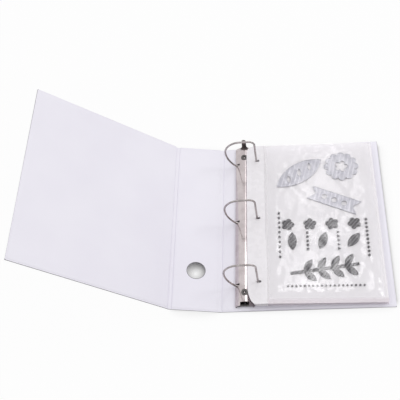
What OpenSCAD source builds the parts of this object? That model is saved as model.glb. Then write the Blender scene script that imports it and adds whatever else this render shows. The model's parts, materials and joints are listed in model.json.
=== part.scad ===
// Three-ring storage binder lying open, with D-rings and a stack of clear pockets.
// Origin: centre of the back cover's underside. +X towards the back cover's outer edge,
// +Y towards the top edge of the covers, +Z up from the table.

/* [Covers] */
// Height of the covers along the spine
cover_h = 292; // [285:1:340]
// Width of a cover from its hinge groove to its outer edge
cover_w = 245; // [240:1:290]
// Width of the spine panel between its two grooves
spine_w = 66; // [66:0.5:90]
// Width of each hinge groove
groove_w = 8.5; // [8:0.5:14]
// Thickness of the stiffening boards
board_t = 2.4; // [1.5:0.1:3.5]
// Thickness of one vinyl skin
skin_t = 0.35; // [0.25:0.05:0.6]
// Width of the welded margin round the boards
weld_w = 3; // [1:0.5:6]

/* [Open position] */
// Angle of the spine above the table
spine_lift = 12.2; // [0:0.1:40]
// Angle of the front cover above the table
front_lift = 41; // [20:0.5:90]

/* [Finger hole] */
// Diameter of the finger hole in the spine
hole_d = 28; // [20:0.5:40]
// Height of the finger hole's centre above the lower edge
hole_up = 65; // [40:1:120]

/* [Ring plate] */
// Distance from the back cover's hinge edge to the plate's centre line
plate_in = 32; // [32:0.5:40]
// Shift of the ring mechanism towards the top edge
plate_shift = 1; // [-2:0.5:2]
// Length of the plate
plate_l = 283; // [274:1:284]
// Width of the plate across its walls
plate_w = 28; // [26:0.5:29]
// Height of the plate's side walls
wall_h = 3; // [2.6:0.1:3.2]
// Rise of the arch above the walls
arch_rise = 6; // [5.5:0.1:7]
// Thickness of the plate's steel
plate_t = 0.9; // [0.6:0.05:1.1]
// Width of the lip curled in under each wall
lip_w = 1.5; // [1:0.1:2.5]
// Width of the mouth in the arch at each end
mouth_w = 13; // [10:0.5:14]
// Depth of the mouths
mouth_l = 5.5; // [3:0.5:6]

/* [Rings] */
// Spacing of the rings
ring_pitch = 108; // [80:0.5:115]
// Diameter of the ring wire
wire_d = 3; // [2.4:0.1:3.2]
// Height of the rings' top above the inner skin, at the wire's centre
ring_h = 65.5; // [58:0.5:66]
// Reach of the round side from the plate's centre line
bulge_reach = 27; // [25:0.5:27.5]
// Height of the round side's outermost point above the inner skin
bulge_h = 41; // [38:0.5:44]
// Radius of the round side below that point
bulge_r = 57; // [52:1:64]
// Distance of the straight post from the plate's centre line
post_in = 20; // [18:0.5:22]
// Radius of the corner over the post
corner_r = 9; // [5:0.5:12]
// Radius of the bend at the foot of each half
foot_r = 7; // [5.5:0.5:8]
// Place of the joint between the halves, to the right of the centre line
joint_in = 0.5; // [-3:0.5:5]
// Height of the feet above the inner skin, at the wire's centre
foot_h = 3.9; // [3.8:0.1:4.2]

/* [Leaves] */
// Thickness of the two hinged leaves that carry the rings
leaf_t = 1; // [0.8:0.05:1.2]
// Height of the leaves' underside above the inner skin
leaf_h = 1.4; // [1.3:0.05:1.5]

/* [Rivets] */
// Distance from the plate's ends to the rivets
rivet_in = 20.5; // [18:0.5:22]
// Outer diameter of the rivet tubes
rivet_d = 6; // [4:0.5:7]
// Diameter of the rivet flanges
rivet_flange_d = 10; // [9:0.5:12]

/* [Lever] */
// Width of the lever at its foot
lever_w = 20; // [16:0.5:20]
// Width of the lever's finger tab
tab_w = 7; // [5:0.5:9]
// Height of the lever's tip above the pin
lever_h = 19; // [15:0.5:26]
// Outward lean of the lever
lever_lean = 8; // [0:1:15]
// Thickness of the lever
lever_t = 1.2; // [0.9:0.1:1.6]
// Diameter of the lever's pin
pin_d = 2; // [1.6:0.1:2.4]

/* [Pockets] */
// Height of the pockets
pocket_h = 281; // [276:1:284]
// Width of a pocket to the right of its binding strip
pocket_w = 172; // [150:1:174]
// Shift of the pockets towards the lower edge
pocket_shift = 2; // [0:0.5:4]
// Width of the binding strip
strip_w = 22; // [19:0.5:24]
// Thickness of the binding strip
strip_t = 1; // [0.8:0.1:1.1]
// Distance from the plate's centre line to the binding strip
strip_in = 8; // [7:0.5:9]
// Gap between the arch and the lowest strip
strip_gap = 0.6; // [0.5:0.05:1]
// Spacing of the stacked pockets
pocket_pitch = 1.7; // [1.6:0.05:2]
// Thickness of one pocket film
film_t = 0.25; // [0.15:0.05:0.3]
// Space between the films of a pocket
film_gap = 0.3; // [0.2:0.05:0.35]
// Width of the welded border of a pocket
border_w = 4; // [2:0.5:8]
// Length of a ring hole across the strip
slot_l = 10; // [9.5:0.5:12]
// Width of a ring hole along the strip
slot_w = 7; // [5:0.5:9]

/* [Contents] */
// Gap between the carrier sheet and the welds beside it
sheet_gap = 7; // [4:0.5:10]
// Gap between the carrier sheet and the welds at its ends
sheet_end_gap = 5.5; // [3:0.5:10]
// Thickness of the stamp carrier sheet
sheet_t = 0.5; // [0.3:0.05:0.8]
// Thickness of the rubber stamps
stamp_t = 1.2; // [0.9:0.1:2]
// Thickness of the steel dies
die_t = 0.8; // [0.5:0.1:0.9]
// Diameter of the flower stamps
flower_d = 20; // [14:1:22]
// Length of the leaf stamps
leaf_stamp_l = 30; // [20:1:33]
// Width of the leaf stamps
leaf_stamp_w = 13; // [8:1:16]
// Length of the sprig stamp
sprig_l = 100; // [80:1:110]
// Width of the sprig stamp
sprig_w = 38; // [30:1:42]
// Length of the leaf-shaped die
leaf_die_l = 86; // [76:1:96]
// Width of the leaf-shaped die
leaf_die_w = 34; // [28:1:38]
// Diameter of the scalloped die's disc
scallop_d = 42; // [34:1:47]
// Length of the ribbon-shaped die
ribbon_l = 78; // [68:1:86]
// Width of the ribbon-shaped die
ribbon_w = 24; // [18:1:27]

/* [Hidden] */
$fn = 48;
// Colours of the vinyl, the board, the nickel, the films and the contents
vinyl = [0.93, 0.92, 0.95];
grey_board = [0.72, 0.68, 0.62];
nickel = [0.78, 0.75, 0.75];
dark_nickel = [0.45, 0.44, 0.45];
clear_film = [0.92, 0.93, 0.95, 0.35];
die_steel = [0.58, 0.61, 0.66];
stamp_rubber = [0.15, 0.15, 0.17];
// Overcut that carries every cut past the faces that it leaves
over = 1;
// Covers
cover_t = board_t + 2 * skin_t;
edge_x = -cover_w / 2;
pivot_h = skin_t;
back_pivot_x = edge_x - groove_w / 2;
spine_x = edge_x - groove_w - spine_w;
front_pivot_x = spine_x - groove_w / 2;
front_x = spine_x - groove_w - cover_w;
front_bend = front_lift - spine_lift;
hole_x = spine_x + spine_w / 2;
hole_y = hole_up - cover_h / 2;
// Ring plate: an arch on two walls
plate_x = edge_x + plate_in;
plate_z = cover_t;
half_plate = plate_w / 2;
arch_r = (half_plate * half_plate + arch_rise * arch_rise) / (2 * arch_rise);
arch_z = wall_h + arch_rise - arch_r;
plate_h = wall_h + arch_rise;
channel_w = plate_w - 2 * plate_t;
ring_ys = [plate_shift + ring_pitch, plate_shift, plate_shift - ring_pitch];
// Slots for the ring feet, from outside the walls to where the wire clears the arch
wire_r = wire_d / 2;
slot_clear = 0.75;
foot_drop = 0.7;
slot_in = 0.9;
slot_reach = sqrt(pow(arch_r - plate_t, 2) - pow(foot_h + wire_r + slot_clear - arch_z, 2)) - slot_in;
// Leaves, with a running gap at each edge
edge_gap = 0.3;
leaf_out = channel_w / 2 - edge_gap;
leaf_mid_gap = edge_gap;
saddle_side = 1.5;
saddle_w = wire_d + 2 * saddle_side;
saddle_in = 3.5;
saddle_l = 5;
saddle_fit = 0.02;
tail_in = 4;
joint_gap = 0.3;
leaf_top = leaf_h + leaf_t;
// Rivets in shallow seats on the arch
rivet_wall = 0.9;
rivet_clear = 0.05;
flange_t = 0.8;
foot_flange_t = 0.5;
seat_clear = 0.5;
seat_d = rivet_flange_d + 2 * seat_clear;
seat_z = plate_h - flange_t;
notch_clear = 1.5;
notch_d = rivet_d + 2 * notch_clear;
rivet_reach = plate_l / 2 - rivet_in;
rivet_ys = [plate_shift - rivet_reach, plate_shift + rivet_reach];
// Lever: a barrel on a pin across the arch, a toe under the leaves and a bell-shaped tab
pin_h = 4;
pin_fit = 0.05;
pin_seat_fit = 0.02;
pin_back = 5;
pin_y = plate_shift + plate_l / 2 - pin_back;
pin_reach = sqrt(arch_r * arch_r - pow(pin_h + pin_d / 2 - arch_z, 2));
barrel_wall = 1.2;
barrel_d = pin_d + 2 * barrel_wall;
barrel_w = 12;
toe_w = 3;
toe_reach = 4;
toe_top = 0.6;
toe_t = 0.45;
lever_gap = 0.8;
lever_foot = 1;
shoulder_h = 6;
leaf_end_gap = 1.2;
leaf_inset = 1;
leaf_y0 = plate_shift - plate_l / 2 + leaf_inset;
leaf_y1 = pin_y - barrel_d / 2 - leaf_end_gap;
// Round side of a ring: foot bend, long arc, top arc. The long arc is thinner by a hair,
// and its ends reach a little way into the wire on either side.
bend_a = acos((bulge_h - foot_h - foot_r) / (bulge_r - foot_r));
bulge_cx = bulge_r - bulge_reach;
bend_cx = bulge_cx - (bulge_r - foot_r) * sin(bend_a);
lap = 0.3;
hair = 0.04;
top_r = ring_h - bulge_h;
top_cx = top_r - bulge_reach;
// Pockets, the lowest just above the arch where its strip begins
strip_x = plate_x + strip_in;
strip_h = arch_z + sqrt(arch_r * arch_r - strip_in * strip_in) + strip_gap;
hinge_gap = 0.8;
pocket_y = -pocket_shift;
film_x = strip_x + strip_w + hinge_gap;
film_hinge_x = strip_x + strip_w + hinge_gap / 2;
film_right = film_x + pocket_w;
film_low = pocket_y - pocket_h / 2;
film_high = pocket_y + pocket_h / 2;
half_pocket = film_gap / 2 + film_t;
edge_clear = 0.4;
pocket_drop = strip_h + strip_t / 2 - half_pocket - edge_clear;
pocket_slope = asin(pocket_drop / (pocket_w + hinge_gap));
slot_shift = 0.5;
// Contents of the top pocket lie on its back film under a raised panel of the front film
content_clear = 0.2;
raised_z = sheet_t + stamp_t + content_clear - film_gap / 2;
sheet_w = pocket_w - 2 * (border_w + sheet_gap);
sheet_h = pocket_h - 2 * (border_w + sheet_end_gap);
sheet_x = film_x + border_w + sheet_gap;
sheet_y = pocket_y;
sheet_z = content_clear / 4 - film_gap / 2;
sheet_top = sheet_z + sheet_t;
// Windows in the dies
leaf_window_l = 15;
leaf_window_w = 6;
leaf_window_pitch = 20;
ribbon_window_d = 9;
ribbon_window_pitch = 16;
ribbon_fork = 9;

// Places a piece drawn flat on the table at the spine's angle
module on_spine() {
    translate([back_pivot_x, 0, pivot_h])
        rotate([0, spine_lift, 0])
            translate([-back_pivot_x, 0, -pivot_h])
                children();
}

// Places a piece drawn flat on the table at the front cover's angle
module on_front() {
    on_spine()
        translate([front_pivot_x, 0, pivot_h])
            rotate([0, front_bend, 0])
                translate([-front_pivot_x, 0, -pivot_h])
                    children();
}

// Box from its lowest to its highest corner
module span(low, high) {
    translate(low)
        cube(high - low);
}

// Board of a panel that starts at x, with the welded margins of its left and right sides
module board(x, w, weld_left, weld_right) {
    side = cover_h / 2 - weld_w - skin_t;
    span([x + weld_left + skin_t, -side, skin_t], [x + w - weld_right - skin_t, side, skin_t + board_t]);
}

module outer_skin(x, w) {
    span([x, -cover_h / 2, 0], [x + w, cover_h / 2, skin_t]);
}

// Skin raised over the board, with its flat welded margin
module inner_skin(x, w, weld_left, weld_right) {
    side = cover_h / 2 - weld_w;
    difference() {
        union() {
            span([x, -cover_h / 2, skin_t], [x + w, cover_h / 2, 2 * skin_t]);
            span([x + weld_left, -side, skin_t], [x + w - weld_right, side, cover_t]);
        }
        board(x, w, weld_left, weld_right);
    }
}

// Welded vinyl between two panels, bent up to the left of its pivot
module hinge_strip(pivot_x, bend) {
    half = groove_w / 2;
    rise = skin_t / cos(bend / 2);
    fold = [sin(bend / 2) * rise, cos(bend / 2) * rise];
    far = [-half * cos(bend), half * sin(bend)];
    up = [sin(bend) * skin_t, cos(bend) * skin_t];
    translate([pivot_x, cover_h / 2, pivot_h])
        rotate([90, 0, 0])
            linear_extrude(cover_h)
                polygon([[half, -skin_t], -fold, far - up, far + up, fold, [half, skin_t]]);
}

// Vertical holes for the rivets through the back cover
module rivet_holes(d, z0, z1) {
    for (y = rivet_ys)
        translate([plate_x, y, z0])
            cylinder(d = d, h = z1 - z0);
}

module finger_hole() {
    translate([hole_x, hole_y, -over])
        cylinder(d = hole_d, h = cover_t + 2 * over);
}

module back_board() {
    color(grey_board)
        difference() {
            board(edge_x, cover_w, 0, weld_w);
            rivet_holes(rivet_d + 2 * rivet_clear, 0, cover_t);
            rivet_holes(rivet_flange_d + 2 * rivet_clear, 0, foot_flange_t + rivet_clear);
        }
}

module back_outer_skin() {
    color(vinyl)
        difference() {
            outer_skin(edge_x, cover_w);
            rivet_holes(rivet_flange_d + 2 * rivet_clear, -over, cover_t);
        }
}

module back_inner_skin() {
    color(vinyl)
        difference() {
            inner_skin(edge_x, cover_w, 0, weld_w);
            rivet_holes(rivet_d + 2 * rivet_clear, 0, cover_t + over);
        }
}

module spine_board() {
    color(grey_board)
        on_spine()
            difference() {
                board(spine_x, spine_w, 0, 0);
                finger_hole();
            }
}

module spine_outer_skin() {
    color(vinyl)
        on_spine()
            difference() {
                outer_skin(spine_x, spine_w);
                finger_hole();
            }
}

module spine_inner_skin() {
    color(vinyl)
        on_spine()
            difference() {
                inner_skin(spine_x, spine_w, 0, 0);
                finger_hole();
            }
}

module front_board() {
    color(grey_board)
        on_front()
            board(front_x, cover_w, weld_w, 0);
}

module front_outer_skin() {
    color(vinyl)
        on_front()
            outer_skin(front_x, cover_w);
}

module front_inner_skin() {
    color(vinyl)
        on_front()
            inner_skin(front_x, cover_w, weld_w, 0);
}

module back_hinge_strip() {
    color(vinyl)
        hinge_strip(back_pivot_x, spine_lift);
}

module front_hinge_strip() {
    color(vinyl)
        on_spine()
            hinge_strip(front_pivot_x, front_bend);
}

// Moves a piece drawn about the plate's centre line and the inner skin to its place
module at_plate() {
    translate([plate_x, 0, plate_z])
        children();
}

// Cross-section of the arch and its walls, less the channel and the gap between the lips
module plate_section() {
    difference() {
        intersection() {
            translate([-half_plate, 0])
                square([plate_w, plate_h]);
            union() {
                translate([0, arch_z])
                    circle(r = arch_r, $fn = 96);
                translate([-half_plate, 0])
                    square([plate_w, wall_h]);
            }
        }
        intersection() {
            translate([-channel_w / 2, plate_t])
                square([channel_w, plate_h]);
            translate([0, arch_z])
                circle(r = arch_r - plate_t, $fn = 96);
        }
        translate([lip_w - channel_w / 2, -over])
            square([channel_w - 2 * lip_w, plate_t + 2 * over]);
    }
}

// Slots through the shoulders of the plate where the ring feet go in
module foot_slots() {
    half_wide = wire_r + slot_clear;
    for (y = ring_ys, side = [0, 1])
        mirror([side, 0, 0])
            span([slot_reach, y - half_wide, foot_h - wire_r - foot_drop],
                 [half_plate + over, y + half_wide, plate_h + over]);
}

// Mouths in the ends of the arch, one of them over the lever's arm
module end_mouths() {
    for (side = [0, 1])
        translate([0, plate_shift, 0])
            mirror([0, side, 0])
                span([-mouth_w / 2, plate_l / 2 - mouth_l, wall_h],
                     [mouth_w / 2, plate_l / 2 + over, plate_h + over]);
}

module ring_plate() {
    color(nickel)
        at_plate()
            difference() {
                union() {
                    difference() {
                        translate([0, plate_shift + plate_l / 2, 0])
                            rotate([90, 0, 0])
                                linear_extrude(plate_l)
                                    plate_section();
                        for (y = rivet_ys)
                            translate([0, y, seat_z])
                                cylinder(d = seat_d, h = flange_t + over);
                    }
                    for (y = rivet_ys)
                        translate([0, y, seat_z - plate_t])
                            cylinder(d = seat_d, h = plate_t);
                }
                foot_slots();
                end_mouths();
                for (y = rivet_ys)
                    translate([0, y, wall_h])
                        cylinder(d = rivet_d + 2 * rivet_clear, h = plate_h);
                translate([-half_plate - over, pin_y, pin_h])
                    rotate([0, 90, 0])
                        cylinder(d = pin_d + 2 * pin_seat_fit, h = plate_w + 2 * over);
            }
}

// Leaf that carries the left halves of the rings; the right leaf mirrors it
module leaf() {
    difference() {
        union() {
            span([-leaf_out, leaf_y0, leaf_h], [-leaf_mid_gap, leaf_y1, leaf_top]);
            for (y = ring_ys)
                span([-saddle_in - saddle_l, y - saddle_w / 2, leaf_top],
                     [-saddle_in, y + saddle_w / 2, foot_h]);
        }
        for (y = rivet_ys)
            translate([0, y, 0])
                cylinder(d = notch_d, h = plate_h);
        for (y = ring_ys)
            translate([-half_plate, y, foot_h])
                rotate([0, 90, 0])
                    cylinder(d = wire_d + 2 * saddle_fit, h = plate_w);
    }
}

module left_leaf() {
    color(dark_nickel)
        at_plate()
            leaf();
}

module right_leaf() {
    color(dark_nickel)
        at_plate()
            mirror([1, 0, 0])
                leaf();
}

// Bent piece of wire in the ring's plane, from one angle to another about a centre
module wire_arc(cx, cz, r, from, to, d = wire_d) {
    translate([cx, 0, cz])
        rotate([90, 0, 0])
            rotate([0, 0, from])
                rotate_extrude(angle = to - from, $fn = 96)
                    translate([r, 0])
                        circle(d = d);
}

// Straight piece of wire across the plate
module wire_across(x0, x1, z) {
    translate([x0, 0, z])
        rotate([0, 90, 0])
            cylinder(d = wire_d, h = x1 - x0);
}

// Round half of a ring: foot, bend, long arc, top arc and the run to the joint
module round_half() {
    wire_across(bend_cx, -tail_in, foot_h);
    wire_arc(bend_cx, foot_h + foot_r, foot_r, 270, 270 - bend_a);
    wire_arc(bulge_cx, bulge_h, bulge_r, 180 - lap, 270 - bend_a + lap, wire_d - hair);
    wire_arc(top_cx, bulge_h, top_r, 90, 180);
    wire_across(top_cx, joint_in - joint_gap / 2, ring_h);
}

// Straight half of a ring: run from the joint, corner, post, bend and foot
module post_half() {
    wire_across(joint_in + joint_gap / 2, post_in - corner_r, ring_h);
    wire_arc(post_in - corner_r, ring_h - corner_r, corner_r, 0, 90);
    translate([post_in, 0, foot_h + foot_r])
        cylinder(d = wire_d, h = ring_h - corner_r - foot_h - foot_r);
    wire_arc(post_in - foot_r, foot_h + foot_r, foot_r, 270, 360);
    wire_across(tail_in, post_in - foot_r, foot_h);
}

module left_ring(y) {
    color(nickel)
        at_plate()
            translate([0, y, 0])
                round_half();
}

module right_ring(y) {
    color(nickel)
        at_plate()
            translate([0, y, 0])
                post_half();
}

// Outline of the lever's tab: a wide foot that narrows through two hollow curves to a round tip
module bell() {
    curve_r = (lever_w - tab_w) / 2;
    tip_z = lever_h - tab_w / 2;
    difference() {
        translate([-lever_w / 2, -lever_foot])
            square([lever_w, lever_foot + shoulder_h]);
        for (side = [-1, 1])
            translate([side * lever_w / 2, shoulder_h])
                circle(r = curve_r);
    }
    translate([-tab_w / 2, 0])
        square([tab_w, tip_z]);
    translate([0, tip_z])
        circle(d = tab_w);
}

module opening_lever() {
    arm = pin_back + lever_gap;
    color(dark_nickel)
        at_plate()
            translate([0, pin_y, pin_h])
                difference() {
                    union() {
                        translate([-barrel_w / 2, 0, 0])
                            rotate([0, 90, 0])
                                cylinder(d = barrel_d, h = barrel_w);
                        span([-barrel_w / 2, 0, -lever_t / 2],
                             [barrel_w / 2, arm + lever_t / 2, lever_t / 2]);
                        span([-toe_w / 2, -toe_reach, toe_top - toe_t - pin_h],
                             [toe_w / 2, 0, toe_top - pin_h]);
                        span([-toe_w / 2, -barrel_d / 2, toe_top - toe_t - pin_h], [toe_w / 2, 0, 0]);
                        translate([0, arm + lever_t, 0])
                            rotate([90 - lever_lean, 0, 0])
                                linear_extrude(lever_t)
                                    bell();
                    }
                    translate([-barrel_w, 0, 0])
                        rotate([0, 90, 0])
                            cylinder(d = pin_d + 2 * pin_fit, h = 2 * barrel_w);
                }
}

module lever_pin() {
    color(nickel)
        at_plate()
            translate([-pin_reach, pin_y, pin_h])
                rotate([0, 90, 0])
                    cylinder(d = pin_d, h = 2 * pin_reach);
}

// Tubular rivets from the cover's underside to the seats on the arch
module rivets() {
    top = plate_z + plate_h;
    inner = rivet_d / 2 - rivet_wall;
    color(nickel)
        for (y = rivet_ys)
            translate([plate_x, y, 0])
                difference() {
                    union() {
                        cylinder(d = rivet_d, h = top);
                        cylinder(d = rivet_flange_d, h = foot_flange_t);
                        translate([0, 0, plate_z + seat_z])
                            cylinder(d = rivet_flange_d, h = flange_t);
                    }
                    translate([0, 0, -over])
                        cylinder(r = inner, h = top + 2 * over);
                }
}

// Ring hole with round ends, longer across the strip so that the posts can swing
module ring_slot() {
    reach = (slot_l - slot_w) / 2;
    translate([-reach, -slot_w / 2])
        square([2 * reach, slot_w]);
    for (side = [-1, 1])
        translate([side * reach, 0])
            circle(d = slot_w);
}

// Binding strip of a pocket; level 0 is the lowest of the stack
module strip(level) {
    color(clear_film)
        translate([0, 0, plate_z + strip_h + level * pocket_pitch])
            linear_extrude(strip_t)
                difference() {
                    translate([strip_x, pocket_y - pocket_h / 2])
                        square([strip_w, pocket_h]);
                    for (y = ring_ys)
                        translate([plate_x + post_in + slot_shift, y])
                            ring_slot();
                }
}

// Places a piece drawn about the mid-plane of a flat pocket on the sloping pocket
module on_pocket(level) {
    translate([film_hinge_x, 0, plate_z + strip_h + strip_t / 2 + level * pocket_pitch])
        rotate([0, pocket_slope, 0])
            translate([-film_hinge_x, 0, 0])
                children();
}

// Flat film over the whole pocket, between two heights about its mid-plane
module film(level, z0, z1) {
    color(clear_film)
        on_pocket(level)
            span([film_x, film_low, z0], [film_right, film_high, z1]);
}

module back_film(level) {
    film(level, -half_pocket, -film_gap / 2);
}

module front_film(level) {
    film(level, film_gap / 2, half_pocket);
}

// Weld of the left, lower and right edges of a pocket; the top edge is the mouth
module seam(level) {
    color(clear_film)
        on_pocket(level)
            difference() {
                span([film_x, film_low, -film_gap / 2], [film_right, film_high, film_gap / 2]);
                span([film_x + border_w, film_low + border_w, -over],
                     [film_right - border_w, film_high + over, over]);
            }
}

// Front film of the top pocket, which lies over the contents
module raised_front_film(level) {
    color(clear_film)
        on_pocket(level)
            span([film_x + border_w, film_low + border_w, raised_z],
                 [film_right - border_w, film_high, raised_z + film_t]);
}

// Weld of the top pocket, with the film that climbs from it to the raised front film
module raised_seam(level) {
    inset = border_w + film_t;
    color(clear_film)
        on_pocket(level)
            difference() {
                union() {
                    span([film_x, film_low, -film_gap / 2], [film_right, film_high, film_gap / 2]);
                    span([film_x + border_w, film_low + border_w, 0],
                         [film_right - border_w, film_high, raised_z]);
                }
                span([film_x + inset, film_low + inset, -over],
                     [film_right - inset, film_high + over, raised_z + over]);
            }
}

// Sheet that carries the stamps and dies inside the top pocket
module carrier_sheet() {
    color(clear_film)
        on_pocket(4)
            span([sheet_x, sheet_y - sheet_h / 2, sheet_z],
                 [sheet_x + sheet_w, sheet_y + sheet_h / 2, sheet_top]);
}

// Places a flat shape on the carrier sheet, at a share of its width and height and at an angle
module on_sheet(across, up, turn, t) {
    on_pocket(4)
        translate([sheet_x + across * sheet_w, sheet_y + (up - 0.5) * sheet_h, sheet_top])
            rotate([0, 0, turn])
                linear_extrude(t)
                    children();
}

// Pointed leaf between two arcs, along X
module leaf_shape(l, w) {
    r = (l * l / 4 + w * w / 4) / w;
    intersection() {
        translate([0, w / 2 - r])
            circle(r = r);
        translate([0, r - w / 2])
            circle(r = r);
    }
}

// Round flower of five petals
module flower_shape(d) {
    petal = d * 0.38;
    for (i = [0:4])
        rotate([0, 0, 72 * i])
            translate([d / 2 - petal / 2, 0])
                circle(d = petal);
    circle(d = d * 0.5);
}

// Stem with pairs of leaves
module sprig_shape(l, w, pairs) {
    step = l / (pairs + 1);
    translate([-l / 2, -w * 0.06])
        square([l, w * 0.12]);
    for (i = [1:pairs], side = [-1, 1])
        translate([i * step - l / 2, 0])
            rotate([0, 0, side * 50])
                translate([w * 0.3, 0])
                    leaf_shape(w * 0.6, w * 0.26);
}

module rubber_stamps() {
    color(stamp_rubber) {
        for (i = [0:3])
            on_sheet(0.16 + 0.22 * i, 0.46, 15 * i, stamp_t)
                flower_shape(flower_d);
        for (i = [0:2])
            on_sheet(0.2 + 0.3 * i, 0.35, 90 - 20 * i, stamp_t)
                leaf_shape(leaf_stamp_l, leaf_stamp_w);
        on_sheet(0.5, 0.17, 8, stamp_t)
            sprig_shape(sprig_l, sprig_w, 4);
    }
}

// Thin cutting die: a leaf-shaped plate with a row of leaf-shaped windows
module sprig_die() {
    color(die_steel)
        on_sheet(0.3, 0.82, 35, die_t)
            difference() {
                leaf_shape(leaf_die_l, leaf_die_w);
                for (i = [-1:1])
                    translate([i * leaf_window_pitch, 0])
                        rotate([0, 0, 60])
                            leaf_shape(leaf_window_l, leaf_window_w);
            }
}

// Thin cutting die: a scalloped disc with a flower-shaped window
module scallop_die() {
    scallops = 12;
    disc_r = scallop_d / 2;
    color(die_steel)
        on_sheet(0.74, 0.86, 0, die_t)
            difference() {
                union() {
                    circle(r = disc_r);
                    for (i = [0:scallops - 1])
                        rotate([0, 0, i * 360 / scallops])
                            translate([disc_r, 0])
                                circle(r = disc_r * 0.26);
                }
                flower_shape(disc_r);
            }
}

// Thin cutting die: a ribbon with forked ends and three round windows
module ribbon_die() {
    l = ribbon_l;
    w = ribbon_w;
    fork = ribbon_fork;
    color(die_steel)
        on_sheet(0.64, 0.62, -24, die_t)
            difference() {
                polygon([
                    [-l / 2, -w / 2], [l / 2, -w / 2], [l / 2 - fork, 0],
                    [l / 2, w / 2], [-l / 2, w / 2], [fork - l / 2, 0]
                ]);
                for (i = [-1:1])
                    translate([i * ribbon_window_pitch, 0])
                        circle(d = ribbon_window_d);
            }
}

back_board();
back_outer_skin();
back_inner_skin();
spine_board();
spine_outer_skin();
spine_inner_skin();
front_board();
front_outer_skin();
front_inner_skin();
back_hinge_strip();
front_hinge_strip();
ring_plate();
left_leaf();
right_leaf();
left_ring(ring_ys[0]);  // upper_left_ring
left_ring(ring_ys[1]);  // middle_left_ring
left_ring(ring_ys[2]);  // lower_left_ring
right_ring(ring_ys[0]);  // upper_right_ring
right_ring(ring_ys[1]);  // middle_right_ring
right_ring(ring_ys[2]);  // lower_right_ring
opening_lever();
lever_pin();
rivets();
strip(4);  // pocket_1_strip
back_film(4);  // pocket_1_back_film
raised_front_film(4);  // pocket_1_front_film
raised_seam(4);  // pocket_1_seam
strip(3);  // pocket_2_strip
back_film(3);  // pocket_2_back_film
front_film(3);  // pocket_2_front_film
seam(3);  // pocket_2_seam
strip(2);  // pocket_3_strip
back_film(2);  // pocket_3_back_film
front_film(2);  // pocket_3_front_film
seam(2);  // pocket_3_seam
strip(1);  // pocket_4_strip
back_film(1);  // pocket_4_back_film
front_film(1);  // pocket_4_front_film
seam(1);  // pocket_4_seam
strip(0);  // pocket_5_strip
back_film(0);  // pocket_5_back_film
front_film(0);  // pocket_5_front_film
seam(0);  // pocket_5_seam
carrier_sheet();
rubber_stamps();
sprig_die();
scallop_die();
ribbon_die();
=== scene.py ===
import json
import math
import bmesh
import bpy
from mathutils import Matrix, Vector, noise
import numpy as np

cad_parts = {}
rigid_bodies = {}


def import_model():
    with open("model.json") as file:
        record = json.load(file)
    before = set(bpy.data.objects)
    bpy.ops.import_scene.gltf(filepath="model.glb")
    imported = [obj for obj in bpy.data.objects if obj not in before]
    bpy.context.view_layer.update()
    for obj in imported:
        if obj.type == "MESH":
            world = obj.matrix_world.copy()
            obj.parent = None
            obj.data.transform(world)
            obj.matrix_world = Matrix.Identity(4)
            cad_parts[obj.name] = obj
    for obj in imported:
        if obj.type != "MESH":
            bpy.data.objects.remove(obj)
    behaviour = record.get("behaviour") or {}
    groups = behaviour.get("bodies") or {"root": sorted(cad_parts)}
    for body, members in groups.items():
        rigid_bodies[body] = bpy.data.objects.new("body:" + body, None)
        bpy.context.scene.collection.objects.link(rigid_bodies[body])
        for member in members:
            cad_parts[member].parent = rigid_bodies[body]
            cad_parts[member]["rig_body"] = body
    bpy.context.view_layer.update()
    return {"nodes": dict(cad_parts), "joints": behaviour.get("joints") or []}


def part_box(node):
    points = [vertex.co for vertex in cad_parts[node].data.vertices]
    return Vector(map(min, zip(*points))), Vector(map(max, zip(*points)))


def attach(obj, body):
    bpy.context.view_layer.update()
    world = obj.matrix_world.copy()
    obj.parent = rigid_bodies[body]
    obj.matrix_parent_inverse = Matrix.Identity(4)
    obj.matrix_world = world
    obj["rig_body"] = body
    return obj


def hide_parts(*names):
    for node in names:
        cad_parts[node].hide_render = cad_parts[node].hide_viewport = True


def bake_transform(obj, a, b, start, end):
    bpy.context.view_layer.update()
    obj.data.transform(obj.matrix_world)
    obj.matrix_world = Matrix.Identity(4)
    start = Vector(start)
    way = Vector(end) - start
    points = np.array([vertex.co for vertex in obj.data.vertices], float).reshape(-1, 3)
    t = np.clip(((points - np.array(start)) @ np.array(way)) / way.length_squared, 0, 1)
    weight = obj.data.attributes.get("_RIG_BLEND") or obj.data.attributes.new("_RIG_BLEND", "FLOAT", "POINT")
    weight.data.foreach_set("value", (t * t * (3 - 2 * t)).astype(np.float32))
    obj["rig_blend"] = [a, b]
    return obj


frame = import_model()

mm = 0.001
tiny = 1e-6    # metres; points nearer than this are in one place
waveLength = 0.314    # metres between the bands of a wave texture at scale 1
sharpAngle = math.radians(35)
scene = bpy.context.scene
scene.view_settings.view_transform = "Standard"
scene.cycles.transparent_max_bounces = 64    # the stack is many clear films deep
cadNodes = frame["nodes"]
joints = {joint["name"]: joint for joint in frame["joints"]}
print("frame loaded:", len(cadNodes), "nodes")

# camera, found from the ring spacing and the cover's edges; angles in degrees
camera = {
    "place": (-0.0051, -0.6133, 0.9945),
    "azimuth": -13.3,
    "elevation": 55.51,
    "roll": 13.94,
    "lens": 68.1,
    "sensor": 36,
}


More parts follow.
